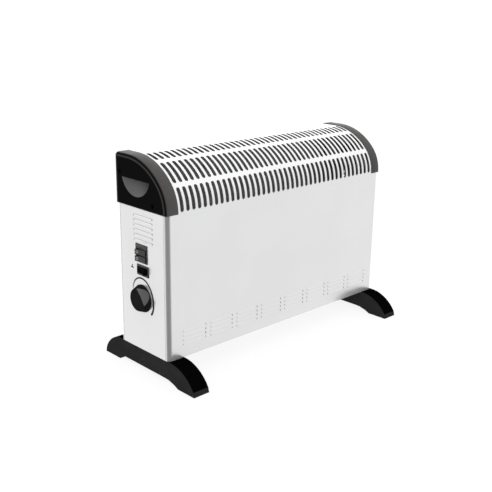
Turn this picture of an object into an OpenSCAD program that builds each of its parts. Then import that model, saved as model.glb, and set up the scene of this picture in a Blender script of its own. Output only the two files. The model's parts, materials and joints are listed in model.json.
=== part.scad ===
// Free-standing fan convector heater: sheet-steel cabinet on two feet, plastic end caps,
// a control end with three rocker switches and a thermostat, two heating coils and a fan.
// Millimetres, +Z up, origin on the floor at the centre of the whole heater's footprint.
// The modules are drawn with X = 0 at the cabinet's middle and Y = 0 on its front face.

/* [Cabinet] */
// Length of the cabinet over its end panels
body_w = 526; // [520:1:560]
// Depth of the cabinet from front face to back face
body_d = 130; // [126:0.5:131]
// Height of the vertical front, from the cabinet's bottom to where the curved top starts
front_h = 245; // [243:1:260]
// Outside radius of the lower, tighter bend of the top
front_r = 66; // [64:0.5:67]
// Outside radius of the upper, flatter bend of the top
top_r = 109.5; // [108:0.5:111]
// Angle covered by the lower bend, in degrees
bend_angle = 42.2; // [41:0.1:43]
// Thickness of the cabinet's sheet steel
sheet = 1; // [0.8:0.1:1]
// Outside radius of the cabinet's vertical corners
corner_r = 8; // [7:0.5:8]

/* [Grille] */
// Number of slots in each of the three rows
slot_count = 40; // [10:1:40]
// Distance from one slot to the next
slot_pitch = 11.9; // [10:0.1:11.9]
// Width of a slot
slot_w = 7; // [4:0.5:7]

/* [Louvres] */
// Length of one pressed louvre
louvre_l = 47; // [40:1:50]
// Groups of louvres along the front and the back
louvre_groups = 8; // [4:1:8]
// Distance from one group to the next
louvre_group_pitch = 59.7; // [56:0.1:60]
// Rows of louvres on the front and the back
louvre_rows = 4; // [1:1:5]
// Rows of louvres on each end panel
end_louvre_rows = 6; // [1:1:6]

/* [End caps] */
// Width of the rim that wraps over the cabinet's top
cap_w = 24.5; // [24:0.5:26]
// How far a cap stands beyond the end panel
cap_over = 2; // [2:0.5:3]
// How far a cap stands proud of the sheet steel round its rim
cap_proud = 1; // [1:0.1:1.5]
// Radius of the cap's rounded outer edge
cap_round = 5.5; // [4:0.5:5.5]
// Radius of the half-moon finger recess
grip_r = 38; // [35:1:38]
// Depth of the finger recess
grip_depth = 16; // [14:1:16]

/* [Feet] */
// Height of the cabinet's bottom above the floor
leg_h = 40; // [40:1:44]
// Width of a foot
foot_w = 31.5; // [30:0.5:32]

/* [Controls] */
// Diameter of the thermostat knob at its base
knob_d = 47; // [44:1:48]
// Height of the knob above the end panel
knob_h = 11; // [10:1:13]
// Angle of the knob's pointer from upright, towards the back
knob_angle = 35; // [0:1:60]
// Angle that a rocker leans either way from level
rocker_tilt = 9; // [6:1:9]

/* [Inside] */
// Diameter of an open heating coil
coil_d = 5; // [4:0.5:6]
// Diameter of the fan impeller
fan_d = 92; // [80:1:92]

/* [Hidden] */
$fn = 64;

// Main levels and planes
end_x = body_w / 2;
cap_x = end_x + cap_over;
rim_x = cap_x - cap_w;
lap_x = rim_x + 6;
spring_z = leg_h + front_h;
cap_z = spring_z - 2;
seam = 0.5;
clear = 0.1;
running = 0.05;
lower_c = [front_r, spring_z];
upper_c = lower_c + (top_r - front_r) * [cos(bend_angle), -sin(bend_angle)];
top_z = upper_c[1] + top_r;
back_r = 6;
back_c = [body_d - back_r, top_z - back_r];
back_lip_z = top_z - 19;
foot_front = 62.5;
foot_back = 49.5;
mid_x = (knob_h - cap_over) / 2;
mid_y = (body_d + foot_back - foot_front) / 2;

// Grille rows, as distances round the sheet from the start of the bend: [start, end]
grille_rows = [[0.4, 39.9], [47.3, 91.9], [100.8, 129.1]];
lower_arc = front_r * bend_angle * PI / 180;

// Louvres
louvre_z0 = leg_h + 23;
louvre_pitch = 7.5;
end_louvre_z0 = leg_h + 189.4;
end_louvre_pitch = 8.1;
end_louvre_y = 37;

// End cap features: [y, z]
grip_c = [76.5, leg_h + 297.5];
grip_z = leg_h + 288;
cap_holes = [[119.5, leg_h + 294.7], [34, leg_h + 252.5]];
cap_wall = 2.5;
face_step = 0.8;
face_border = 1.2;
inner_x = end_x - 11;
boss_r = 6;
sink_r = 4.25;
sink_floor = 3;
scoop_wall = 1.8;
scoop_r = (grip_r * grip_r + grip_depth * grip_depth) / (2 * grip_depth);

// Controls on the end panel: [y, z]
power_c = [66, leg_h + 168.4];
turbo_c = [63.3, leg_h + 140.1];
knob_c = [66.2, leg_h + 91.8];
bezel_l = 30;
bezel_t = 1.2;
power_bezel_h = 30.6;
turbo_bezel_h = 17.8;
bezel_lap = 1.1;
housing_depth = 16;
cavity_l = 26;
cavity_depth = 10;
power_cavity_h = 9.4;
turbo_cavity_h = 11;
power_places = [-8.3, 2.9];
rocker_half_l = 11.6;
rocker_gap = 0.3;
rocker_crest = 6.8;
pin_r = 1.5;
pin_l = 0.5;
pivot_x = end_x + bezel_t - 5;
shaft_r = 3;
knob_gap = 0.3;
tab_l = 8;
tab_x = end_x - housing_depth;
thermostat_size = [36, 30, 14];
thermostat_screw = 14;

// Feet: the toe and the heel are arcs that start level at these y places
toe_y = -3;
toe_r = 68;
heel_y = 130;
heel_r = 52;
foot_x0 = end_x - 0.5 - foot_w;
foot_x = foot_x0 + foot_w / 2;
foot_screw_ys = [24, 104];
foot_sink_z = 32;

// Casing screws along the back
top_screw_xs = [-180, 0, 180];
back_screw_xs = [-170, 0, 170];
back_screw_z = leg_h + 7;

// Inside: coil places as [y, z]; coils run along X
low_coils = [[50, leg_h + 112], [76, leg_h + 112]];
high_coils = [[30, leg_h + 152], [52, leg_h + 152], [74, leg_h + 152], [96, leg_h + 152]];
coil_ends = [low_coils[0], low_coils[1], high_coils[0], high_coils[3]];
rails = [[26, leg_h + 122], [100, leg_h + 122]];
rail_r = 2;
coil_x = 180;
card_xs = [-150, -75, 0, 75, 150];
bracket_x = 200;
shield_x = 218;
deck_z = leg_h + sheet;
fan_c = [60, 63];
ring_h = 34;
ear_r = fan_d / 2 + 11;
ear_angles = [0, 120, 240];
spindle_r = 1.5;
block_c = [-235, 88];
block_size = [18, 36, 16];
well_step = 11;
earth_c = [-226, 45];
gland = [-236, leg_h + 62];
gland_r = 7;
cord_r = 4;

// Puts a module drawn in the cabinet's frame into the part's frame
module placed() {
    translate([mid_x, -mid_y, 0]) children();
}

// Turns an outline drawn in (y, z) into a slab from x0 to x1
module slab(x0, x1) {
    translate([x0, 0, 0]) rotate([90, 0, 90]) linear_extrude(x1 - x0) children();
}

// Local XY to the control end: local X runs forward, Y up and Z out of the end
module facing_out(yz, x) {
    translate([-x, yz[0], yz[1]]) rotate([90, 0, -90]) children();
}

// A rod along local Z from a to b
module rod(r, a, b) {
    translate([0, 0, a]) cylinder(r = r, h = b - a);
}

// A pan-head screw along Z: the head stands on z = 0 and the shank hangs below it
module screw(head_r, head_h, shank_r, shank_l) {
    difference() {
        union() {
            rod(head_r, 0, head_h);
            rod(shank_r, -shank_l, 0.1);
        }
        for (a = [0, 90]) rotate([0, 0, a]) translate([-head_r * 0.6, -0.4, head_h / 2])
            cube([head_r * 1.2, 0.8, head_h]);
    }
}

// Unit vector in (y, z): 0 degrees points forward, 90 points up
function toward(a) = [-cos(a), sin(a)];

// Wedge of a disc between two angles
module sector(c, r, from, to) {
    intersection() {
        translate(c) circle(r = r, $fn = 180);
        polygon([c, c + 2 * r * toward(from), c + 2 * r * toward((from + to) / 2), c + 2 * r * toward(to)]);
    }
}

// The cabinet's end outline grown by d, from height z0 up
module outline(d, z0) {
    intersection() {
        union() {
            polygon([
                [-d, leg_h], [body_d + d, leg_h], [body_d + d, back_c[1]], back_c,
                [back_c[0], top_z + d], [upper_c[0], top_z + d], upper_c, lower_c, [-d, spring_z]
            ]);
            sector(lower_c, front_r + d, 0, bend_angle);
            sector(upper_c, top_r + d, bend_angle, 90);
            sector(back_c, back_r + d, 90, 180);
        }
        translate([-d - 1, z0]) square([body_d + 2 * d + 2, top_z]);
    }
}

// The cabinet's plan with rounded corners, grown by d
module plan(d) {
    flat = end_x - corner_r;
    translate([-flat, -d]) square([2 * flat, body_d + 2 * d]);
    translate([-end_x - d, corner_r]) square([body_w + 2 * d, body_d - 2 * corner_r]);
    for (x = [-flat, flat], y = [corner_r, body_d - corner_r])
        translate([x, y]) circle(r = corner_r + d);
}

// Point and slope on the sheet's outside at distance s round the bend: [y, z, angle]
function on_arc(c, r, a) = [c[0] - r * cos(a), c[1] + r * sin(a), a];
function on_bend(s) = s < lower_arc
    ? on_arc(lower_c, front_r, s / front_r * 180 / PI)
    : on_arc(upper_c, top_r, bend_angle + (s - lower_arc) / top_r * 180 / PI);

// Cutters for one row of the grille, square to the sheet at the row's middle
module slot_row(row) {
    mid = on_bend((row[0] + row[1]) / 2);
    a = on_bend(row[0]);
    b = on_bend(row[1]);
    straight = norm([b[0] - a[0], b[1] - a[1]]) - slot_w;
    translate([0, mid[0], mid[1]]) rotate([-mid[2], 0, 0]) translate([0, 8, 0]) rotate([90, 0, 0])
        linear_extrude(16) for (i = [0 : slot_count - 1])
            translate([(i - (slot_count - 1) / 2) * slot_pitch, 0]) {
                square([slot_w, straight], center = true);
                for (e = [-1, 1]) translate([0, e * straight / 2]) circle(d = slot_w, $fn = 32);
            }
}

// Window cut for one louvre; the louvre runs along +X from the origin on a face at y = 0
module louvre_window() {
    translate([0, -1, -1.2]) cube([louvre_l, sheet + 2, 2.4]);
    translate([louvre_l - 0.5, -1, -1.6]) cube([2.6, sheet + 2, 3.2]);
}

// Pressed hood over the louvre's window, open below and at its far end
module louvre_hood() {
    rotate([90, 0, 90]) linear_extrude(louvre_l)
        polygon([[0, 2], [sheet, 2], [sheet, 1], [0.1, -1.4], [-0.8, -1.4], [-0.8, -0.8]]);
}

// Places its children at every louvre of the long faces
module long_face_louvres() {
    span = (louvre_groups - 1) * louvre_group_pitch + louvre_l;
    for (g = [0 : louvre_groups - 1], r = [0 : louvre_rows - 1])
        translate([g * louvre_group_pitch - span / 2, 0, louvre_z0 + r * louvre_pitch]) children();
}

// Places its children at every louvre of an end panel whose outside is at x = -end_x
module end_face_louvres() {
    for (r = [0 : end_louvre_rows - 1])
        translate([-end_x, end_louvre_y, end_louvre_z0 + r * end_louvre_pitch])
            mirror([1, 0, 0]) rotate([0, 0, 90]) mirror([0, 1, 0]) children();
}

// A long face with both vertical corners turned round it and flanges behind the end panels
module long_face() {
    translate([0, 0, leg_h]) linear_extrude(front_h - seam) intersection() {
        difference() {
            plan(0);
            plan(-sheet);
        }
        translate([-end_x, 0]) square([body_w, corner_r]);
    }
    for (s = [-1, 1]) translate([s * (end_x - 1.5 * sheet) - sheet / 2, corner_r - 2, leg_h])
        cube([sheet, 14, front_h - seam]);
}

// Places its children, drawn along +Y, at the screws of the cover's back lip
module at_lip_screws() {
    for (x = top_screw_xs) translate([x, body_d, back_lip_z + 5]) rotate([90, 0, 0]) children();
}

module at_back_screws() {
    for (x = back_screw_xs) translate([x, body_d, back_screw_z]) rotate([90, 0, 0]) children();
}

module front_cover() {
    color("whitesmoke") placed() {
        difference() {
            union() {
                long_face();
                difference() {
                    slab(-lap_x, lap_x) difference() {
                        outline(0, cap_z);
                        outline(-sheet, cap_z - 1);
                    }
                    translate([-end_x, body_d / 2, 0]) cube([body_w, body_d, back_lip_z]);
                }
            }
            for (row = grille_rows) slot_row(row);
            long_face_louvres() louvre_window();
            at_lip_screws() rod(1.8, -3, 3);
        }
        long_face_louvres() louvre_hood();
    }
}

module back_panel() {
    tongue_l = 400;
    color("whitesmoke") placed() difference() {
        union() {
            difference() {
                translate([0, body_d, 0]) mirror([0, 1, 0]) {
                    long_face();
                    translate([-lap_x, 0, cap_z]) cube([2 * lap_x, sheet, back_lip_z - seam - cap_z]);
                    translate([-tongue_l / 2, sheet, back_lip_z - 9]) cube([tongue_l, sheet, 19]);
                }
                translate([0, body_d, 0]) mirror([0, 1, 0]) long_face_louvres() louvre_window();
            }
            translate([0, body_d, 0]) mirror([0, 1, 0]) long_face_louvres() louvre_hood();
        }
        at_lip_screws() rod(1.6, -3, 4);
        at_back_screws() rod(1.8, -3, 3);
        translate([gland[0], body_d, gland[1]]) rotate([90, 0, 0]) rod(gland_r + clear, -2, 3);
    }
}

// An end panel with its outside at x = -end_x; above, it steps in behind the end cap
module end_panel() {
    edge = corner_r + seam;
    difference() {
        union() {
            translate([-end_x, edge, leg_h]) cube([sheet, body_d - 2 * edge, front_h + sheet]);
            translate([-end_x, edge, spring_z]) cube([end_x - inner_x + sheet, body_d - 2 * edge, sheet]);
            slab(-inner_x, -inner_x + sheet) outline(cap_proud - cap_wall - clear, spring_z);
        }
        for (h = cap_holes) facing_out(h, inner_x) rod(1.7, -4, 2);
        // hole for the back of the finger recess
        intersection() {
            facing_out(grip_c, inner_x) rod(26, -4, 2);
            translate([-end_x, 0, 0]) cube([30, body_d, grip_z + scoop_wall + clear]);
        }
        end_face_louvres() louvre_window();
    }
    end_face_louvres() louvre_hood();
}

// Rectangular hole for a switch whose bezel is h high
module switch_hole(c, h) {
    l = bezel_l - 2 * bezel_lap + 2 * clear;
    translate([-end_x - 1, c[0] - l / 2, c[1] - h / 2 + bezel_lap - clear])
        cube([sheet + 2, l, h - 2 * bezel_lap + 2 * clear]);
}

module control_end_panel() {
    color("whitesmoke") placed() difference() {
        end_panel();
        switch_hole(power_c, power_bezel_h);
        switch_hole(turbo_c, turbo_bezel_h);
        facing_out(knob_c, end_x) rod(5.2, -3, 2);
        for (s = [-1, 1]) facing_out(knob_c, end_x) translate([s * thermostat_screw, 0, 0]) rod(1.7, -3, 2);
    }
}

module plain_end_panel() {
    color("whitesmoke") placed() mirror([1, 0, 0]) end_panel();
}

// Rows of air slots in the base pan between two x places
module pan_slots(x0, x1) {
    for (x = [x0 : 9 : x1], y = [18, 68]) translate([x, y, leg_h - 1]) cube([4, 42, 3]);
}

module base_pan() {
    w = 2 * (end_x - 14);
    color("gainsboro") placed() difference() {
        union() {
            translate([0, 0, leg_h]) linear_extrude(sheet) intersection() {
                plan(-sheet - clear);
                translate([-end_x + 2 * sheet + clear, 0])
                    square([body_w - 4 * sheet - 2 * clear, body_d]);
            }
            for (y = [sheet + clear, body_d - 2 * sheet - clear]) translate([-w / 2, y, leg_h])
                cube([w, sheet, 14]);
        }
        pan_slots(-180, -20);
        pan_slots(130, 190);
        translate([0, 0, leg_h - 1]) linear_extrude(sheet + 2) intersection() {
            translate(fan_c) circle(r = fan_d / 2);
            for (i = [-6 : 6]) translate([fan_c[0] + i * 7.2 - 2.2, 0]) square([4.4, body_d]);
        }
        for (s = [-1, 1], y = foot_screw_ys) translate([s * foot_x, y, leg_h]) rod(1.8, -1, 2);
        at_back_screws() rod(1.6, 0, 3);
        for (a = ear_angles) fan_ear(a) rod(1.7, -3, 2);
        translate([earth_c[0], earth_c[1], leg_h]) rod(2.1, -1, 2);
    }
}

// Outer form of a cap on the control end, its edge rounded all the way round the end face
module cap_form() {
    hull() for (a = [0 : 15 : 90])
        slab(-cap_x + cap_round * (1 - sin(a)), -rim_x) outline(cap_proud - cap_round * (1 - cos(a)), cap_z);
}

// The half-moon recess from x0 inwards, or the shell round it when grown by d
module scoop(d, x0) {
    intersection() {
        translate([-cap_x + grip_depth - scoop_r, grip_c[0], grip_c[1]]) sphere(r = scoop_r + d, $fn = 96);
        translate([x0, 0, 0]) cube([60, body_d, grip_z + d]);
    }
}

module end_cap() {
    sunk = cap_proud - cap_round - face_border;
    difference() {
        union() {
            difference() {
                cap_form();
                slab(-end_x, -rim_x + 1) outline(cap_proud - cap_wall, cap_z - 1);
                slab(-lap_x - clear, -rim_x + 1) outline(clear, cap_z - 1);
                translate([0, 0, cap_z - 1]) linear_extrude(spring_z - seam + clear - cap_z + 1) plan(clear);
                slab(-cap_x - 1, -cap_x + face_step) outline(sunk, cap_z + face_border);
            }
            scoop(scoop_wall, -end_x - 0.6);
            for (h = cap_holes) facing_out(h, inner_x) rod(boss_r, 0, end_x - inner_x + 0.6);
        }
        scoop(0, -cap_x - 1);
        for (h = cap_holes) facing_out(h, inner_x) {
            rod(sink_r, sink_floor, 20);
            rod(2.2, -1, 20);
        }
    }
}

module left_end_cap() {
    color("dimgray") placed() end_cap();
}

module right_end_cap() {
    color("dimgray") placed() mirror([1, 0, 0]) end_cap();
}

module end_cap_screws() {
    color("silver") placed() for (m = [0, 1]) mirror([m, 0, 0])
        for (h = cap_holes) facing_out(h, inner_x + sink_floor) screw(3.8, 2.4, 1.6, 8);
}

// Side profile of a foot in (y, z)
module foot_profile() {
    toe = -foot_front;
    heel = body_d + foot_back;
    intersection() {
        union() {
            translate([toe_y, 0]) square([heel_y - toe_y, leg_h]);
            translate([toe_y, leg_h - toe_r]) circle(r = toe_r, $fn = 180);
            translate([heel_y, leg_h - heel_r]) circle(r = heel_r, $fn = 180);
        }
        polygon([
            [toe, 0], [toe + 2.1, 8.5], [toe + 2.1, leg_h], [heel - 1.9, leg_h], [heel - 1.9, 9],
            [heel, 0], [137, 0], [130, 6.5], [122, 8.5], [14, 8.5], [2, 8], [-12, 4.5], [-22, 0]
        ]);
    }
}

module foot() {
    difference() {
        slab(foot_x0, foot_x0 + foot_w) foot_profile();
        for (y = foot_screw_ys) translate([foot_x, y, 0]) {
            rod(4.5, 0, foot_sink_z);
            rod(2.2, 0, leg_h + 1);
        }
    }
}

module left_foot() {
    color("#202020") placed() mirror([1, 0, 0]) foot();
}

module right_foot() {
    color("#202020") placed() foot();
}

module foot_screws() {
    color("silver") placed() for (s = [-1, 1], y = foot_screw_ys)
        translate([s * foot_x, y, foot_sink_z]) mirror([0, 0, 1]) screw(3.9, 2.4, 1.6, leg_h - foot_sink_z + 6);
}

module casing_screws() {
    color("silver") placed() {
        at_lip_screws() mirror([0, 0, 1]) screw(3.2, 1.8, 1.5, 8);
        at_back_screws() mirror([0, 0, 1]) screw(3.2, 1.8, 1.5, 8);
    }
}

// A switch housing with one cavity of height cavity_h for each z in places
module switch_housing(c, h, cavity_h, places) {
    facing_out(c, end_x) difference() {
        union() {
            translate([-bezel_l / 2, -h / 2, 0]) cube([bezel_l, h, bezel_t]);
            translate([-bezel_l / 2 + bezel_lap, -h / 2 + bezel_lap, -housing_depth])
                cube([bezel_l - 2 * bezel_lap, h - 2 * bezel_lap, housing_depth + 0.5]);
        }
        for (z = places) translate([-cavity_l / 2, z - cavity_h / 2, -cavity_depth])
            cube([cavity_l, cavity_h, cavity_depth + bezel_t + 1]);
        side = cavity_h / 2 + pin_l + running;
        translate([0, max(places) + side, pivot_x - end_x]) rotate([90, 0, 0])
            cylinder(r = pin_r + running, h = max(places) - min(places) + 2 * side);
    }
}

module power_switch_housing() {
    color("#1c1c1c") placed() switch_housing(power_c, power_bezel_h, power_cavity_h, power_places);
}

module turbo_switch_housing() {
    color("#1c1c1c") placed() switch_housing(turbo_c, turbo_bezel_h, turbo_cavity_h, [0]);
}

// A rocker for a cavity of height cavity_h, leaning by tilt; positive raises its back end
module rocker(c, z, cavity_h, tilt) {
    w = cavity_h - 2 * rocker_gap;
    crest = rocker_crest + rocker_half_l * tan(rocker_tilt);
    facing_out([c[0], c[1] + z], pivot_x) rotate([0, tilt, 0]) {
        rotate([90, 0, 0]) translate([0, 0, -w / 2]) linear_extrude(w) polygon([
            [-4, -3], [4, -3], [rocker_half_l, 1.5], [rocker_half_l, crest], [0, rocker_crest],
            [-rocker_half_l, crest], [-rocker_half_l, 1.5]
        ]);
        rotate([90, 0, 0]) translate([0, 0, -cavity_h / 2 - pin_l]) cylinder(r = pin_r, h = cavity_h + 2 * pin_l);
    }
}

module upper_power_rocker() {
    color("#1c1c1c") placed() rocker(power_c, power_places[1], power_cavity_h, rocker_tilt);
}

module lower_power_rocker() {
    color("#1c1c1c") placed() rocker(power_c, power_places[0], power_cavity_h, rocker_tilt);
}

module turbo_rocker() {
    color("#1c1c1c") placed() rocker(turbo_c, 0, turbo_cavity_h, -rocker_tilt);
}

module switch_terminals() {
    color("goldenrod") placed() {
        for (y = [-8, 0, 8], z = power_places) translate([-tab_x, power_c[0] + y - 0.4, power_c[1] + z - 2.4])
            cube([tab_l, 0.8, 4.8]);
        for (y = [-8, 0, 8]) translate([-tab_x, turbo_c[0] + y - 0.4, turbo_c[1] - 2.4])
            cube([tab_l, 0.8, 4.8]);
    }
}

module thermostat_body() {
    s = thermostat_size;
    color("ivory") placed() facing_out(knob_c, end_x - sheet) difference() {
        union() {
            translate([-s[0] / 2, -s[1] / 2, -s[2]]) cube(s);
            rod(5, -1, sheet);
        }
        rod(shaft_r + running, -s[2] + 4, 3);
        for (x = [-thermostat_screw, thermostat_screw]) translate([x, 0, 0]) rod(1.6, -8, 1);
    }
}

module thermostat_shaft() {
    color("silver") placed() facing_out(knob_c, end_x) rod(shaft_r, -10, 7.5);
}

// A tapered round knob with one sloping flank, and a small facet beside the pointer
module thermostat_knob() {
    top_r = knob_d / 2 - 4.3;
    chord = 12;
    rim_h = 1.2;
    color("#1c1c1c") placed() facing_out(knob_c, end_x) rotate([0, 0, knob_angle]) difference() {
        translate([0, 0, knob_gap]) cylinder(r1 = knob_d / 2, r2 = top_r, h = knob_h - knob_gap, $fn = 120);
        translate([0, knob_d, 0]) rotate([90, 0, 0]) linear_extrude(2 * knob_d) polygon([
            [chord, knob_h], [knob_d / 2, rim_h], [knob_d, rim_h], [knob_d, knob_h + 1], [chord, knob_h + 1]
        ]);
        translate([chord, 4.3, knob_h]) rotate([0, 31.5, 10.3]) translate([-30, -30, 0]) cube([60, 60, 20]);
        rod(18, 0, 3);
        rod(shaft_r + 0.02, 0, 8);
    }
}

module thermostat_screws() {
    color("silver") placed() for (x = [-thermostat_screw, thermostat_screw])
        facing_out(knob_c, end_x) translate([x, 0, 0]) screw(2.8, 1.4, 1.5, 6);
}

module heat_shield() {
    color("silver") placed() difference() {
        union() {
            translate([-shield_x, 4, deck_z]) cube([0.8, body_d - 8, 230]);
            translate([-shield_x, 4, deck_z]) cube([10, body_d - 8, 0.8]);
        }
        translate([-shield_x - 1, 40, leg_h + 100]) cube([3, 46, 66]);
    }
}

// Cuts along X at each [y, z] of a list
module along_x(places, r, x0, x1) {
    for (p = places) translate([x0, p[0], p[1]]) rotate([0, 90, 0]) cylinder(r = r, h = x1 - x0);
}

module element_brackets() {
    color("silver") placed() for (m = [0, 1]) mirror([m, 0, 0]) difference() {
        union() {
            translate([-bracket_x, 16, deck_z]) cube([1, 94, 190]);
            translate([-bracket_x, 16, deck_z]) cube([10, 94, 1]);
        }
        along_x(rails, rail_r + clear, -bracket_x - 1, -bracket_x + 2);
        along_x(coil_ends, 4.6, -bracket_x - 1, -bracket_x + 2);
    }
}

module element_rails() {
    color("silver") placed() along_x(rails, rail_r, -bracket_x - 3, bracket_x + 3);
}

module mica_supports() {
    color("tan") placed() for (x = card_xs) difference() {
        translate([x - 0.5, 18, leg_h + 100]) cube([1, 90, 70]);
        along_x(rails, rail_r + clear, x - 2, x + 2);
        along_x(low_coils, coil_d / 2 + 0.3, x - 2, x + 2);
        along_x(high_coils, coil_d / 2 + 0.3, x - 2, x + 2);
    }
}

module coil_insulators() {
    color("white") placed() for (p = coil_ends) difference() {
        union() {
            along_x([p], 4.5, -bracket_x - 4, -bracket_x + 5);
            along_x([p], 6.5, -bracket_x + 1, -bracket_x + 3);
        }
        along_x([p], coil_d / 2 + clear, -bracket_x - 5, -bracket_x + 6);
    }
}

// A run of coil between every pair of places, turned back at alternate ends
module coil(places) {
    last = len(places) - 1;
    for (i = [0 : last]) along_x([places[i]], coil_d / 2, i == 0 || i == last ? -bracket_x - 7 : -coil_x, coil_x);
    for (i = [0 : last - 1]) {
        a = places[i];
        b = places[i + 1];
        d = b - a;
        m = (a + b) / 2;
        side = i % 2 == 0 ? 1 : -1;
        translate([side * coil_x, m[0], m[1]]) rotate([atan2(d[1], d[0]), 0, 0]) rotate([0, 0, side * 90 - 180])
            rotate_extrude(angle = 180) translate([norm(d) / 2, 0]) circle(d = coil_d, $fn = 32);
    }
}

module low_heat_coil() {
    color("peru") placed() coil(low_coils);
}

module high_heat_coil() {
    color("peru") placed() coil(high_coils);
}

module thermal_cutout() {
    color("darkgray") placed() translate([bracket_x - 1, 63, leg_h + 180]) rotate([0, -90, 0]) {
        rod(8, 0, 5);
        rod(3.5, 5, 7);
        translate([-1.5, -13, 0]) cube([3, 26, 1.2]);
    }
}

// Places its children on the base pan at one ear of the fan's ring
module fan_ear(angle) {
    translate([fan_c[0], fan_c[1], deck_z]) rotate([0, 0, angle]) translate([ear_r, 0, 0]) children();
}

module fan_shroud() {
    inner = fan_d / 2 + 2.5;
    color("#303030") placed() {
        difference() {
            union() {
                translate([fan_c[0], fan_c[1], deck_z]) difference() {
                    rod(inner + 1.8, 0, ring_h);
                    rod(inner, -1, ring_h + 1);
                }
                translate([fan_c[0], fan_c[1], deck_z + ring_h - 3]) for (a = [0, 90]) rotate([0, 0, a])
                    translate([-inner - 0.9, -4, 0]) cube([2 * inner + 1.8, 8, 3]);
                for (a = ear_angles) fan_ear(a) {
                    rod(5, 0, 2);
                    translate([-9, -5, 0]) cube([9, 10, 2]);
                }
            }
            translate([fan_c[0], fan_c[1], deck_z - 1]) rod(inner, 0, ring_h - 3);
            translate([fan_c[0], fan_c[1], 0]) rod(4, deck_z, deck_z + ring_h + 2);
            for (a = ear_angles) fan_ear(a) rod(1.7, -1, 3);
        }
    }
}

module fan_motor() {
    z0 = deck_z + ring_h;
    color("#6a6a6a") placed() translate([fan_c[0], fan_c[1], z0]) difference() {
        union() {
            translate([-24, -24, 0]) cube([48, 48, 14]);
            translate([-18, -34, 1]) cube([36, 12, 12]);
            rod(9, 0, 20);
        }
        rod(spindle_r + running, -1, 17);
    }
}

module motor_shaft() {
    color("silver") placed() translate([fan_c[0], fan_c[1], deck_z + ring_h]) rod(spindle_r, -27, 16);
}

module fan_impeller() {
    color("#404040") placed() translate([fan_c[0], fan_c[1], deck_z + 8]) difference() {
        union() {
            rod(9, 0, 16);
            intersection() {
                rod(fan_d / 2, 0, 20);
                for (i = [0 : 4]) rotate([0, 0, i * 72]) translate([6, 0, 8]) rotate([35, 0, 0])
                    translate([0, -11, -0.7]) cube([fan_d / 2, 22, 1.4]);
            }
        }
        rod(spindle_r + 0.02, -1, 20);
    }
}

module fan_screws() {
    color("silver") placed() for (a = ear_angles) fan_ear(a) translate([0, 0, 2]) screw(3.2, 1.8, 1.6, 4.5);
}

module terminal_block() {
    s = block_size;
    color("ivory") placed() translate([block_c[0], block_c[1], deck_z]) difference() {
        translate([-s[0] / 2, -s[1] / 2, 0]) cube(s);
        for (i = [-1 : 1]) translate([0, i * well_step, 0]) rod(2.6, 6, s[2] + 1);
    }
}

module terminal_screws() {
    color("goldenrod") placed() for (i = [-1 : 1])
        translate([block_c[0], block_c[1] + i * well_step, deck_z + 6]) rod(2.5, 0, 5);
}

// One wire of radius r along a cubic curve with control points c
function bezier(c, t) = pow(1 - t, 3) * c[0] + 3 * t * pow(1 - t, 2) * c[1]
    + 3 * t * t * (1 - t) * c[2] + pow(t, 3) * c[3];
function slope(c, t) = let (d = pow(1 - t, 2) * (c[1] - c[0]) + 2 * t * (1 - t) * (c[2] - c[1])
    + t * t * (c[3] - c[2])) d / norm(d);
function ring_at(c, t, r, sides) = let (
    d = slope(c, t),
    u = cross(d, [0, 1, 0]) / norm(cross(d, [0, 1, 0])),
    v = cross(d, u)
) [for (k = [0 : sides - 1]) bezier(c, t) + r * (cos(k * 360 / sides) * u + sin(k * 360 / sides) * v)];

module wire(c, r) {
    sides = 8;
    steps = 14;
    points = [for (i = [0 : steps]) each ring_at(c, i / steps, r, sides)];
    walls = [for (i = [0 : steps - 1], k = [0 : sides - 1]) let (a = i * sides, b = (k + 1) % sides)
        [a + k, a + b, a + sides + b, a + sides + k]];
    ends = [[for (k = [sides - 1 : -1 : 0]) k], [for (k = [0 : sides - 1]) steps * sides + k]];
    polyhedron(points = points, faces = concat(walls, ends));
}

module wiring_loom() {
    tab_end = -tab_x + tab_l;
    block_side = block_c[0] + block_size[0] / 2;
    color("firebrick") placed() {
        for (i = [-1 : 1]) {
            from = [block_side, block_c[1] + i * well_step, deck_z + 5];
            to = [tab_end, turbo_c[0] + i * 8, turbo_c[1]];
            wire([from, from + [8, 0, 0], to + [22, 0, 0], to], 1);
        }
        for (i = [0, 1]) {
            from = [tab_end, power_c[0] + (i == 0 ? -8 : 8), power_c[1] + power_places[0]];
            to = [-bracket_x - 7, low_coils[i][0], low_coils[i][1]];
            wire([from, from + [14, 0, 0], to + [-16, 0, 0], to], 1);
        }
    }
}

module cable_gland() {
    color("#202020") placed() translate([gland[0], body_d, gland[1]]) rotate([90, 0, 0]) difference() {
        union() {
            rod(gland_r + 2.5, -2.5, 0);
            rod(gland_r, -1, 8);
        }
        rod(cord_r, -3, 9);
    }
}

module earth_screw() {
    color("goldenrod") placed() translate([earth_c[0], earth_c[1], deck_z]) screw(4, 2.2, 2, 3);
}

front_cover();
back_panel();
control_end_panel();
plain_end_panel();
base_pan();
left_end_cap();
right_end_cap();
end_cap_screws();
left_foot();
right_foot();
foot_screws();
casing_screws();
power_switch_housing();
upper_power_rocker();
lower_power_rocker();
turbo_switch_housing();
turbo_rocker();
switch_terminals();
thermostat_body();
thermostat_shaft();
thermostat_knob();
thermostat_screws();
heat_shield();
element_brackets();
element_rails();
mica_supports();
coil_insulators();
low_heat_coil();
high_heat_coil();
thermal_cutout();
fan_shroud();
fan_motor();
motor_shaft();
fan_impeller();
fan_screws();
terminal_block();
terminal_screws();
wiring_loom();
cable_gland();
earth_screw();
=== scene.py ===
"""Looks of a fan convector heater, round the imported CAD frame.

Satin white steel, dark moulded plastic, and thin printed marks on the control end.
"""
import json
import math

import bmesh
import bpy
from mathutils import Matrix, Vector


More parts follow.
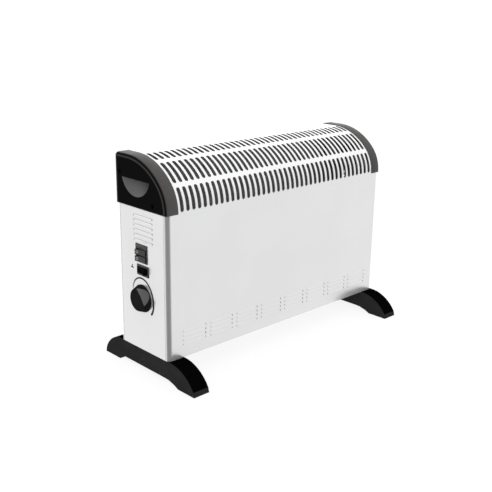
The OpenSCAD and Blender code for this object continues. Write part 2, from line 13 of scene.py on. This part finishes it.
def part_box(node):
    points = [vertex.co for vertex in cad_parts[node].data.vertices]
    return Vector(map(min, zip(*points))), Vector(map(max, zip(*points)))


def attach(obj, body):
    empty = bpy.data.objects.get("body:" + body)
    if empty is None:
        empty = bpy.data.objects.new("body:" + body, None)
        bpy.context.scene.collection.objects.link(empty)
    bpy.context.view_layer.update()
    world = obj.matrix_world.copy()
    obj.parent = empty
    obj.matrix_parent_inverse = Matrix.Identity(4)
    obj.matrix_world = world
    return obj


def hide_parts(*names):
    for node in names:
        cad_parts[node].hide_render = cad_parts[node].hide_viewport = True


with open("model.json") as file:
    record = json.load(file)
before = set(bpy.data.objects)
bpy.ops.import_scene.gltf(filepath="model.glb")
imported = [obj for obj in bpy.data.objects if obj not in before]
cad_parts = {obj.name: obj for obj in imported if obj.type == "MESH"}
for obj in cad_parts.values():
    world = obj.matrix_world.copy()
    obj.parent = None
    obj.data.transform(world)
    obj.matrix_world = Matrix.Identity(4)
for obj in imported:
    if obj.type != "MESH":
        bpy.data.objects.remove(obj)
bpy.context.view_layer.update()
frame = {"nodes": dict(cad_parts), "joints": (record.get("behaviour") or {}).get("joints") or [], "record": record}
NODES = frame["nodes"]
MM = 0.001

# The heater's own planes and centres, from the frame
CASE_LOW, CASE_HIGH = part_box("front_cover")
CASE_MID = (CASE_LOW + CASE_HIGH) / 2
END_X = CASE_LOW.x
TURBO_LOW, TURBO_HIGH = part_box("turbo_switch_housing")
TURBO_C = (TURBO_LOW + TURBO_HIGH) / 2
CAP_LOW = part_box("left_end_cap")[0]
CAP_HALF = CASE_MID.x - CAP_LOW.x
# Middle of the finger recess's ceiling line: 77.5 mm behind the cap's front, 54.5 mm over its lower edge
GRIP_C = Vector((CAP_LOW.x, CAP_LOW.y + 77.5 * MM, CAP_LOW.z + 54.5 * MM))
GRIP_TOP = CAP_LOW.z + 45.2 * MM
# The cap's two screw holes, in mm behind its front and above its lower edge, and the radius of the painted shade
# that blackens them
CAP_HOLES = ((120.5, 51.7), (35.0, 9.5))
CAP_HOLE_SHADE_R = 4.5 * MM
PIVOTS = {joint["child"]: Vector(joint["pos_m"]) for joint in frame["joints"]}

# Shapes made here
BEVEL_SEGMENTS = 3
BEVEL_ANGLE = 32.0  # degrees: sharper edges are rounded
SHEET_ANGLE = 24.0  # degrees: sharper edges of the sheet steel stay crisp
PRINT_T = 0.12 * MM  # thickness of the ink on the end panel
ARC_START, ARC_SWEEP, ARC_STEPS = 158.0, 204.0, 90  # degrees, clockwise from the outside
ROCKER_CREST = 6.8 * MM  # from a power rocker's pivot to the ridge between its halves
ROCKER_LIFT = math.radians(9)  # half the angle between a rocker's halves
RING_AT = 7.2 * MM  # from that ridge to the middle of the ring mark
RING_OUT, RING_IN, RING_SIDES = 2.3, 1.5, 28  # mm, mm
RING_UNDER, RING_OVER = -0.1, 0.07  # mm below and above the rocker's face
BLADES, BLADE_SIDES = 3, 20


# ---------------------------------------------------------------- camera and light

def make_camera():
    """Looks at the cabinet from the front left, a little above it. The lens fits the photo's perspective."""
    yaw, pitch, roll = math.radians(-43.92), math.radians(17.06), math.radians(0.86)
    distance, lens = 1.34895, 58.305
    target = Vector((CASE_MID.x - 0.09405, CASE_LOW.y + 0.0008, CASE_LOW.z + 0.16266))
    back = Vector((math.sin(yaw) * math.cos(pitch), -math.cos(yaw) * math.cos(pitch), math.sin(pitch)))
    right = (-back).cross(Vector((0, 0, 1))).normalized()
    up = right.cross(-back)
    x_axis = math.cos(roll) * right + math.sin(roll) * up
    y_axis = math.cos(roll) * up - math.sin(roll) * right
    data = bpy.data.cameras.new("camera")
    data.lens = lens
    data.sensor_width = 36
    data.clip_end = 60
    camera = bpy.data.objects.new("camera", data)
    camera.matrix_world = Matrix((
        (x_axis.x, y_axis.x, back.x, 0),
        (x_axis.y, y_axis.y, back.y, 0),
        (x_axis.z, y_axis.z, back.z, 0),
        (0, 0, 0, 1),
    ))
    camera.location = target + back * distance
    bpy.context.scene.collection.objects.link(camera)
    bpy.context.scene.camera = camera


class Graph:
    """A node tree with short ways to add and join nodes."""

    def __init__(self, tree):
        self.tree = tree
        tree.nodes.clear()

    def add(self, kind, **values):
        node = self.tree.nodes.new(kind)
        for key, value in values.items():
            if hasattr(node, key):
                setattr(node, key, value)
            else:
                self.put(node.inputs[key.replace("_", " ")], value)
        return node

    def put(self, socket, value):
        if isinstance(value, bpy.types.NodeSocket):
            self.tree.links.new(value, socket)
        else:
            socket.default_value = value

    def math(self, operation, a, b=0.0, c=0.0):
        node = self.tree.nodes.new("ShaderNodeMath")
        node.operation = operation
        for socket, value in zip(node.inputs, (a, b, c)):
            self.put(socket, value)
        return node.outputs[0]

    def ramp(self, value, low, high, to_low=0.0, to_high=1.0):
        node = self.tree.nodes.new("ShaderNodeMapRange")
        node.interpolation_type = "SMOOTHSTEP"
        for socket, v in zip(node.inputs, (value, low, high, to_low, to_high)):
            self.put(socket, v)
        return node.outputs[0]

    def mix(self, share, a, b):
        """Colour a, turning into b as share goes to 1. Inputs 6 and 7 are the node's colour pair."""
        node = self.tree.nodes.new("ShaderNodeMix")
        node.data_type = "RGBA"
        self.put(node.inputs[0], share)
        self.put(node.inputs[6], a)
        self.put(node.inputs[7], b)
        return node.outputs[2]

    def noise(self, at, scale, detail=2.0, roughness=0.5):
        node = self.tree.nodes.new("ShaderNodeTexNoise")
        self.put(node.inputs["Vector"], at)
        self.put(node.inputs["Scale"], scale)
        self.put(node.inputs["Detail"], detail)
        self.put(node.inputs["Roughness"], roughness)
        return node.outputs[0]

    def split(self, vector):
        node = self.tree.nodes.new("ShaderNodeSeparateXYZ")
        self.put(node.inputs[0], vector)
        return node.outputs

    def dot(self, a, b):
        node = self.tree.nodes.new("ShaderNodeVectorMath")
        node.operation = "DOT_PRODUCT"
        self.put(node.inputs[0], a)
        self.put(node.inputs[1], b)
        return node.outputs["Value"]


def grey(value, warm=0.0):
    """A grey, shifted towards red by warm."""
    return (value * (1 + warm), value, value * (1 - warm), 1.0)


def make_world():
    """A bright studio, with a dark zone low at the front left, which shows in the gloss."""
    world = bpy.data.worlds.new("studio")
    bpy.context.scene.world = world
    world.use_nodes = True
    g = Graph(world.node_tree)
    toward = g.add("ShaderNodeTexCoord").outputs["Generated"]
    dark_way = Vector((-0.66, -0.69, -0.29)).normalized()
    dark = g.ramp(g.dot(toward, tuple(dark_way)), 0.16, 0.95)
    height = g.split(toward)[2]
    glossy = g.math("MULTIPLY", g.ramp(dark, 0.0, 1.0, 1.0, 0.01), g.ramp(height, -0.1, 0.7, 2.15, 2.9))
    soft = g.ramp(height, -0.2, 0.9, 1.0, 1.25)
    path = g.add("ShaderNodeLightPath").outputs
    strength = g.math("ADD", g.math("MULTIPLY", path["Is Glossy Ray"], glossy),
                      g.math("MULTIPLY", g.math("SUBTRACT", 1.0, path["Is Glossy Ray"]), soft))
    background = g.add("ShaderNodeBackground", Color=(1.0, 1.0, 1.0, 1.0), Strength=strength)
    out = g.add("ShaderNodeOutputWorld")
    g.put(out.inputs["Surface"], background.outputs[0])


def make_floor():
    """A wide pale floor, mostly lit by itself, so that shadows on it stay soft."""
    mesh = bpy.data.meshes.new("floor")
    size = 30.0
    corners = [(-size, -size, 0), (size, -size, 0), (size, size, 0), (-size, size, 0)]
    mesh.from_pydata(corners, [], [(0, 1, 2, 3)])
    floor = bpy.data.objects.new("floor", mesh)
    bpy.context.scene.collection.objects.link(floor)
    floor.visible_glossy = False
    mat = bpy.data.materials.new("floor_white")
    mat.use_nodes = True
    g = Graph(mat.node_tree)
    matte = g.add("ShaderNodeBsdfDiffuse", Color=grey(0.95))
    lit = g.add("ShaderNodeEmission", Color=grey(1.0), Strength=1.02)
    both = g.add("ShaderNodeMixShader")
    lit_share = 0.86
    for socket, value in zip(both.inputs, (lit_share, matte.outputs[0], lit.outputs[0])):
        g.put(socket, value)
    out = g.add("ShaderNodeOutputMaterial")
    g.put(out.inputs["Surface"], both.outputs[0])
    mesh.materials.append(mat)


def make_lights():
    """A large soft lamp over the front right, and a weaker one beyond the control end."""
    for name, at, aim, size, watts in (
        ("key", (1.5, -1.5, 2.4), (0, 0, 0.2), 1.6, 3.5),
        ("side", (-2.6, 1.2, 1.6), (-0.2, 0, 0.25), 1.4, 6.0),
    ):
        data = bpy.data.lights.new(name, "AREA")
        data.size = size
        data.energy = watts
        lamp = bpy.data.objects.new(name, data)
        lamp.location = at
        lamp.rotation_euler = (Vector(aim) - Vector(at)).to_track_quat("-Z", "Y").to_euler()
        lamp.visible_glossy = False
        bpy.context.scene.collection.objects.link(lamp)


# ---------------------------------------------------------------- materials

def new_material(name):
    """An empty material: itself, its graph, its Principled shader, and object coordinates."""
    mat = bpy.data.materials.new(name)
    mat.use_nodes = True
    g = Graph(mat.node_tree)
    shader = g.add("ShaderNodeBsdfPrincipled")
    out = g.add("ShaderNodeOutputMaterial")
    g.put(out.inputs["Surface"], shader.outputs[0])
    place = g.add("ShaderNodeTexCoord").outputs["Object"]
    return mat, g, shader, place


def bump(g, shader, height, strength, depth):
    node = g.add("ShaderNodeBump", Strength=strength, Distance=depth)
    g.put(node.inputs["Height"], height)
    g.put(shader.inputs["Normal"], node.outputs[0])


def facing_in(g, place):
    """1 on the cabinet's inside surfaces, whose normals point at its middle line, and 0 outside."""
    x, y, z = g.split(place)
    nx, ny, nz = g.split(g.add("ShaderNodeNewGeometry").outputs["True Normal"])
    out_y = g.math("MULTIPLY", g.math("SUBTRACT", y, CASE_MID.y), ny)
    out_z = g.math("MULTIPLY", g.math("SUBTRACT", z, CASE_MID.z), nz)
    out_x = g.math("MULTIPLY", g.math("SUBTRACT", x, CASE_MID.x), g.math("MULTIPLY", nx, 0.3))
    total = g.math("ADD", g.math("ADD", out_y, out_z), out_x)
    return g.math("LESS_THAN", total, -0.012)


def powder_coat():
    """Satin white enamel with a fine orange peel; painted shade makes the inside surfaces a darker grey."""
    mat, g, shader, place = new_material("white_powder_coat")
    patch = g.noise(place, 9.0, 3.0)
    peel = g.noise(place, 700.0, 2.0, 0.6)
    paint = g.mix(g.ramp(patch, 0.3, 0.7), grey(0.425, 0.004), grey(0.44, -0.004))
    # Painted shade: the inside faces of the sheet are coloured a darker grey.
    inside_shade = g.mix(g.ramp(g.noise(place, 60.0), 0.3, 0.7), grey(0.21), grey(0.26, 0.02))
    inside = facing_in(g, place)
    g.put(shader.inputs["Base Color"], g.mix(inside, paint, inside_shade))
    g.put(shader.inputs["Roughness"], g.ramp(g.noise(place, 240.0), 0.2, 0.8, 0.20, 0.25))
    g.put(shader.inputs["Specular IOR Level"], g.ramp(inside, 0.0, 1.0, 0.6, 0.0))
    g.put(shader.inputs["Metallic"], g.ramp(inside, 0.0, 1.0, 0.5, 0.0))
    bump(g, shader, peel, 0.012, 0.00002)
    return mat


def plastic(name, base, roughness, specular, grain=0.35, scale=1500.0, warm=0.0):
    """Moulded plastic: a spark-eroded grain, faint flow marks and small rubbed patches."""
    mat, g, shader, place = new_material(name)
    flow = g.noise(place, 22.0, 3.0)
    tone = g.mix(g.ramp(flow, 0.3, 0.7), grey(base * 0.88, warm), grey(base * 1.12, warm))
    rub = g.ramp(g.noise(place, 160.0), 0.55, 0.75, 0.0, 0.12)
    g.put(shader.inputs["Base Color"], g.mix(rub, tone, grey(base * 2.2 + 0.02, warm)))
    gloss = g.noise(place, 420.0)
    g.put(shader.inputs["Roughness"], g.ramp(gloss, 0.25, 0.75, roughness - 0.05, roughness + 0.06))
    g.put(shader.inputs["Specular IOR Level"], specular)
    cells = g.add("ShaderNodeTexVoronoi", Scale=scale)
    g.put(cells.inputs["Vector"], place)
    grain_height = g.math("ADD", cells.outputs["Distance"], g.noise(place, scale * 1.7, 1.0))
    bump(g, shader, grain_height, grain, 0.00005)
    return mat, g, shader, place


def normal_part(g, axis, low, high):
    """How far a surface faces along one axis, eased from low to high."""
    part = g.split(g.add("ShaderNodeNewGeometry").outputs["True Normal"])[axis]
    return g.ramp(g.math("ABSOLUTE", part), low, high)


def recolour(g, shader, share, colour):
    """Lays another colour over the shader's own, as far as share goes."""
    base = shader.inputs["Base Color"]
    g.put(base, g.mix(share, base.links[0].from_socket, colour))


def squares(g, a, b):
    return g.math("ADD", g.math("MULTIPLY", a, a), g.math("MULTIPLY", b, b))


def cap_plastic():
    """Rim with a matte textured grain; a smooth black end face; painted shade blackens the rounded edge round it
    and the two screw holes; the finger recess carries painted light and shade.
    """
    mat, g, shader, place = plastic("cap_plastic", 0.052, 0.5, 0.06, warm=0.03)
    x, y, z = g.split(place)
    depth = g.math("SUBTRACT", CAP_HALF, g.math("ABSOLUTE", g.math("SUBTRACT", x, CASE_MID.x)))
    face_low, face_high = 0.86 * MM, 0.98 * MM  # the end face lies this deep behind the rim's border
    plane = g.ramp(depth, face_low, face_high, 1.0, 0.0)
    # Painted shade: the rounded edge between rim and end face is blackened where it turns towards the end.
    fillet_shade = g.math("MULTIPLY", normal_part(g, 0, 0.3, 0.7), g.ramp(depth, 5.4 * MM, 5.8 * MM, 1.0, 0.0))
    off_y = g.math("SUBTRACT", y, GRIP_C.y)
    off_z = g.math("SUBTRACT", z, GRIP_C.z)
    radius = g.math("SQRT", squares(g, off_y, off_z))
    inside_edge = g.ramp(radius, 38.0 * MM, 38.3 * MM, 1.0, 0.0)
    grip = g.math("MULTIPLY", inside_edge, g.ramp(depth, face_low, face_high))
    grip = g.math("MULTIPLY", grip, g.math("LESS_THAN", z, GRIP_TOP))
    # This black covers the real black end face together with the painted shade.
    black_face_and_shade = g.math("MULTIPLY", g.math("MAXIMUM", plane, fillet_shade), g.math("SUBTRACT", 1.0, grip))
    # Painted shade: a black disc over each screw hole.
    for over_y, over_z in CAP_HOLES:
        hole_y = g.math("SUBTRACT", y, CAP_LOW.y + over_y * MM)
        hole_z = g.math("SUBTRACT", z, CAP_LOW.z + over_z * MM)
        hole = squares(g, hole_y, hole_z)
        black_face_and_shade = g.math("MAXIMUM", black_face_and_shade, g.math("LESS_THAN", hole, CAP_HOLE_SHADE_R ** 2))
    recolour(g, shader, black_face_and_shade, grey(0.005))
    recolour(g, shader, g.ramp(depth, 0.3 * MM, 0.45 * MM, 1.0, 0.0), grey(0.035, 0.03))
    # Painted light and shade in the finger recess: lighter low and towards the back, darker high and towards the
    # front.
    recess_shading = g.ramp(g.math("SUBTRACT", off_z, off_y), -40 * MM, 22 * MM, 0.105, 0.018)
    recess_shading_colour = g.add("ShaderNodeCombineXYZ")
    for socket in recess_shading_colour.inputs:
        g.put(socket, recess_shading)
    recolour(g, shader, grip, recess_shading_colour.outputs[0])
    g.put(shader.inputs["Specular IOR Level"], g.ramp(black_face_and_shade, 0.0, 1.0, 0.06, 0.0))
    return mat


def foot_plastic():
    """Grained flanks; painted shade makes the top near black, and painted light lifts a plain facet at each tip
    back to dark grey.
    """
    mat, g, shader, place = plastic("foot_plastic", 0.021, 0.5, 0.0)
    # Painted shade: faces that don't face an end are made nearly black.
    recolour(g, shader, normal_part(g, 0, 0.75, 0.5), grey(0.0016))
    # Painted light: faces that point forward or back, such as the facet at each tip, are lifted to dark grey.
    recolour(g, shader, normal_part(g, 1, 0.90, 0.96), grey(0.02))
    return mat


def knob_plastic():
    """Black, with painted light making a sloping flank paler. A turn about X leaves the X part of its normal as it
    is.
    """
    mat, g, shader, place = plastic("knob_plastic", 0.011, 0.34, 0.0, grain=0.2, scale=2200.0)
    # Painted light: faces turned partway from the X axis, the sloping flank, are made paler grey.
    flank_light = g.math("MULTIPLY", normal_part(g, 0, 0.70, 0.78), normal_part(g, 0, 0.93, 0.87))
    recolour(g, shader, flank_light, grey(0.11, 0.01))
    return mat


def steel(name, base, roughness, scale=(40.0, 900.0, 900.0)):
    """Rolled or drawn bright steel, brushed along X."""
    mat, g, shader, place = new_material(name)
    stretch = g.add("ShaderNodeMapping")
    g.put(stretch.inputs["Vector"], place)
    stretch.inputs["Scale"].default_value = scale
    lines = g.noise(stretch.outputs[0], 1.0, 3.0)
    blot = g.noise(place, 70.0, 3.0)
    tone = g.mix(g.ramp(blot, 0.3, 0.7), grey(base * 0.8), grey(base * 1.1, 0.01))
    g.put(shader.inputs["Base Color"], tone)
    shader.inputs["Metallic"].default_value = 1.0
    g.put(shader.inputs["Roughness"], g.ramp(lines, 0.2, 0.8, roughness - 0.08, roughness + 0.1))
    bump(g, shader, lines, 0.12, 0.00004)
    return mat


def tinted(name, colour, roughness, metallic=0.0, scale=300.0, depth=0.0001, dark=0.75):
    """A coloured material with a mottled tone and a fine uneven surface."""
    mat, g, shader, place = new_material(name)
    low = tuple(c * dark for c in colour) + (1.0,)
    spots = g.noise(place, scale, 4.0)
    g.put(shader.inputs["Base Color"], g.mix(g.ramp(spots, 0.3, 0.7), low, tuple(colour) + (1.0,)))
    shader.inputs["Metallic"].default_value = metallic
    gloss = g.noise(place, scale * 2)
    g.put(shader.inputs["Roughness"], g.ramp(gloss, 0.2, 0.8, roughness - 0.07, roughness + 0.1))
    bump(g, shader, spots, 0.25, depth)
    return mat


def ink(name, low, high, roughness):
    """Screen-printed ink, a little broken up."""
    mat, g, shader, place = new_material(name)
    tone = g.mix(g.ramp(g.noise(place, 1500.0), 0.3, 0.7), grey(low), grey(high))
    g.put(shader.inputs["Base Color"], tone)
    shader.inputs["Roughness"].default_value = roughness
    bump(g, shader, g.noise(place, 3000.0), 0.2, 0.00002)
    return mat, shader


def dark_ink():
    mat, shader = ink("printed_ink", 0.006, 0.012, 0.45)
    shader.inputs["Specular IOR Level"].default_value = 0.05
    return mat


def control_plastic():
    """Dark grey faces; painted shade makes the sides that face up and down black and darkens those that face
    forward and back.
    """
    mat, g, shader, place = plastic("control_plastic", 0.042, 0.36, 0.06, grain=0.15, scale=2200.0, warm=0.04)
    # Painted shade: sides facing up and down are made black.
    recolour(g, shader, normal_part(g, 2, 0.6, 0.9), grey(0.002))
    # Painted shade: sides facing forward and back are made nearly black.
    recolour(g, shader, normal_part(g, 1, 0.75, 0.95), grey(0.008))
    return mat


def make_materials():
    return {
        "sheet": powder_coat(),
        "cap_plastic": cap_plastic(),
        "foot_plastic": foot_plastic(),
        "control_plastic": control_plastic(),
        "control_black": plastic("control_black", 0.004, 0.36, 0.0, grain=0.15, scale=2200.0)[0],
        "knob_plastic": knob_plastic(),
        "fan_plastic": plastic("fan_plastic", 0.03, 0.5, 0.4)[0],
        "thermoset": tinted("cream_thermoset", (0.62, 0.58, 0.46), 0.45, dark=0.88),
        "zinc": steel("zinc_sheet", 0.34, 0.42),
        "screw_steel": steel("screw_steel", 0.55, 0.3, (300.0, 300.0, 300.0)),
        "brass": tinted("brass", (0.68, 0.5, 0.22), 0.3, metallic=1.0, depth=0.00003),
        "mica": tinted("mica_board", (0.36, 0.29, 0.18), 0.6, scale=500.0),
        "ceramic": tinted("steatite", (0.8, 0.78, 0.72), 0.55, scale=700.0, depth=0.00004, dark=0.9),
        "resistance_wire": tinted("oxidised_wire", (0.2, 0.16, 0.13), 0.45, metallic=1.0, scale=900.0),
        "aluminium_part": steel("pressed_aluminium", 0.7, 0.3, (300.0, 300.0, 300.0)),
        "motor_iron": tinted("motor_iron", (0.22, 0.22, 0.23), 0.5, metallic=0.7, scale=400.0),
        "wire_silicone": tinted("silicone_sleeve", (0.35, 0.03, 0.02), 0.5, scale=600.0, depth=0.00003),
        "ink": dark_ink(),
        "pale_ink": ink("pale_ink", 0.26, 0.36, 0.5)[0],
    }


MATERIALS = make_materials()


def dress(obj, name):
    obj.data.materials.clear()
    obj.data.materials.append(MATERIALS[name])


def dress_nodes():
    """Every CAD node takes the material that its slot in the record names."""
    for part in frame["record"]["subparts"]:
        dress(NODES[part["node"]], part["material_slot"])


# ---------------------------------------------------------------- pieces

def place_mesh(name, bm, material, body):
    """A finished bmesh as a piece on a body."""
    mesh = bpy.data.meshes.new(name)
    bm.to_mesh(mesh)
    bm.free()
    obj = bpy.data.objects.new(name, mesh)
    bpy.context.scene.collection.objects.link(obj)
    dress(obj, material)
    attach(obj, body)
    return obj


def shade_smooth(mesh, angle):
    for polygon in mesh.polygons:
        polygon.use_smooth = True
    mesh.set_sharp_from_angle(angle=math.radians(angle))


def rounded(node, body, width, look=None):
    """A copy of a CAD node with its sharp edges rounded; it stands for the node."""
    slot_name = next(p["material_slot"] for p in frame["record"]["subparts"] if p["node"] == node)
    bm = bmesh.new()
    bm.from_mesh(NODES[node].data)
    bmesh.ops.remove_doubles(bm, verts=bm.verts, dist=2e-6)
    bmesh.ops.dissolve_limit(bm, angle_limit=math.radians(0.6), verts=bm.verts, edges=bm.edges)
    obj = place_mesh(node + "_rounded", bm, look or slot_name, body)
    bevel = obj.modifiers.new("bevel", "BEVEL")
    bevel.width = width
    bevel.segments = BEVEL_SEGMENTS
    bevel.limit_method = "ANGLE"
    bevel.angle_limit = math.radians(BEVEL_ANGLE)
    bevel.harden_normals = False
    bevel.use_clamp_overlap = True
    bpy.context.view_layer.update()
    shaped = bpy.data.meshes.new_from_object(obj.evaluated_get(bpy.context.evaluated_depsgraph_get()))
    obj.modifiers.clear()
    obj.data = shaped
    shade_smooth(shaped, BEVEL_ANGLE)
    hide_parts(node)


def flat_print(name, outline, centre):
    """A thin shape in ink on the end panel: outline is a ring of (forward, up) points round centre."""
    bm = bmesh.new()
    back, front = [], []
    for forward, up in outline:
        point = centre + Vector((0, -forward, up))
        back.append(bm.verts.new(point))
        front.append(bm.verts.new(point - Vector((PRINT_T, 0, 0))))
    count = len(outline)
    half = count // 2
    for i in range(half - 1):
        j = count - 1 - i
        bm.faces.new((front[i], front[i + 1], front[j - 1], front[j]))
        bm.faces.new((back[j], back[j - 1], back[i + 1], back[i]))
    for i in range(count):
        k = (i + 1) % count
        bm.faces.new((back[i], back[k], front[k], front[i]))
    bmesh.ops.recalc_face_normals(bm, faces=bm.faces)
    place_mesh(name, bm, "ink", "casing")


def arc_radius(a):
    """The middle line of the dial arc at the angle a, in mm: a circle, moved and drawn out into an egg."""
    moved = 29.3 + 2.3 * math.cos(a) + 2.25 * math.sin(a)
    return moved - 2.6 * math.cos(2 * a) - 2.5 * math.sin(2 * a)


def dial_arc():
    """The temperature wedge round the knob: a hairline at its start, broad at its end."""
    outside, inside = [], []
    for i in range(ARC_STEPS + 1):
        a = math.radians(ARC_START - ARC_SWEEP * i / ARC_STEPS)
        middle = arc_radius(a)
        half = 0.3 + 1.75 * (i / ARC_STEPS) ** 0.4
        for ring, r in ((outside, middle + half), (inside, middle - half)):
            ring.append((r * math.cos(a) * MM, r * math.sin(a) * MM))
    centre = Vector((END_X, PIVOTS["thermostat_dial"].y, PIVOTS["thermostat_dial"].z))
    flat_print("dial_arc", outside + inside[::-1], centre)


def rocker_mark(body):
    """A pale ring on the raised back half of a power rocker."""
    out, back, up = Vector((-1, 0, 0)), Vector((0, 1, 0)), Vector((0, 0, 1))
    crest = PIVOTS[body] + ROCKER_CREST * (math.cos(ROCKER_LIFT) * out - math.sin(ROCKER_LIFT) * back)
    along = math.cos(2 * ROCKER_LIFT) * back + math.sin(2 * ROCKER_LIFT) * out
    normal = math.cos(2 * ROCKER_LIFT) * out - math.sin(2 * ROCKER_LIFT) * back
    centre = crest + along * RING_AT
    section = ((RING_OUT, RING_UNDER), (RING_OUT, RING_OVER), (RING_IN, RING_OVER), (RING_IN, RING_UNDER))
    bm = bmesh.new()
    rings = []
    for radius, height in section:
        ring = []
        for k in range(RING_SIDES):
            a = 2 * math.pi * k / RING_SIDES
            offset = radius * math.cos(a) * along + radius * math.sin(a) * up + height * normal
            ring.append(bm.verts.new(centre + MM * offset))
        rings.append(ring)
    for a, b in zip(rings, rings[1:] + rings[:1]):
        for k in range(RING_SIDES):
            n = (k + 1) % RING_SIDES
            bm.faces.new((a[k], a[n], b[n], b[k]))
    bmesh.ops.recalc_face_normals(bm, faces=bm.faces)
    place_mesh(body + "_mark", bm, "pale_ink", body)


def fan_mark():
    """A small generic fan symbol beside the turbo switch."""
    centre = Vector((END_X, TURBO_C.y + 29 * MM, TURBO_C.z + 0.6 * MM))
    for k in range(BLADES):
        turn = math.radians(90 + 360 / BLADES * k)
        ring = []
        for i in range(BLADE_SIDES):
            a = 2 * math.pi * i / BLADE_SIDES
            along = 2.1 * MM + 1.9 * MM * math.cos(a)
            across = 1.15 * MM * math.sin(a)
            forward = along * math.cos(turn) - across * math.sin(turn)
            ring.append((forward, along * math.sin(turn) + across * math.cos(turn)))
        flat_print(f"fan_mark_{k}", ring, centre)


def main():
    make_camera()
    make_world()
    make_floor()
    make_lights()
    dress_nodes()
    for node, width in (
        ("left_foot", 1.3), ("right_foot", 1.3), ("left_end_cap", 0.5), ("right_end_cap", 0.5),
        ("power_switch_housing", 0.4), ("turbo_switch_housing", 0.4),
    ):
        rounded(node, "casing", width * MM)
    rounded("thermostat_knob", "thermostat_dial", 0.7 * MM)
    rounded("upper_power_rocker", "upper_switch_key", 0.5 * MM)
    rounded("lower_power_rocker", "lower_switch_key", 0.5 * MM)
    rounded("turbo_rocker", "turbo_switch_key", 0.5 * MM, look="control_black")
    for node in ("front_cover", "back_panel", "control_end_panel", "plain_end_panel"):
        shade_smooth(NODES[node].data, SHEET_ANGLE)
    dial_arc()
    fan_mark()
    rocker_mark("upper_switch_key")
    rocker_mark("lower_switch_key")
    bpy.context.scene.view_settings.view_transform = "Standard"


main()
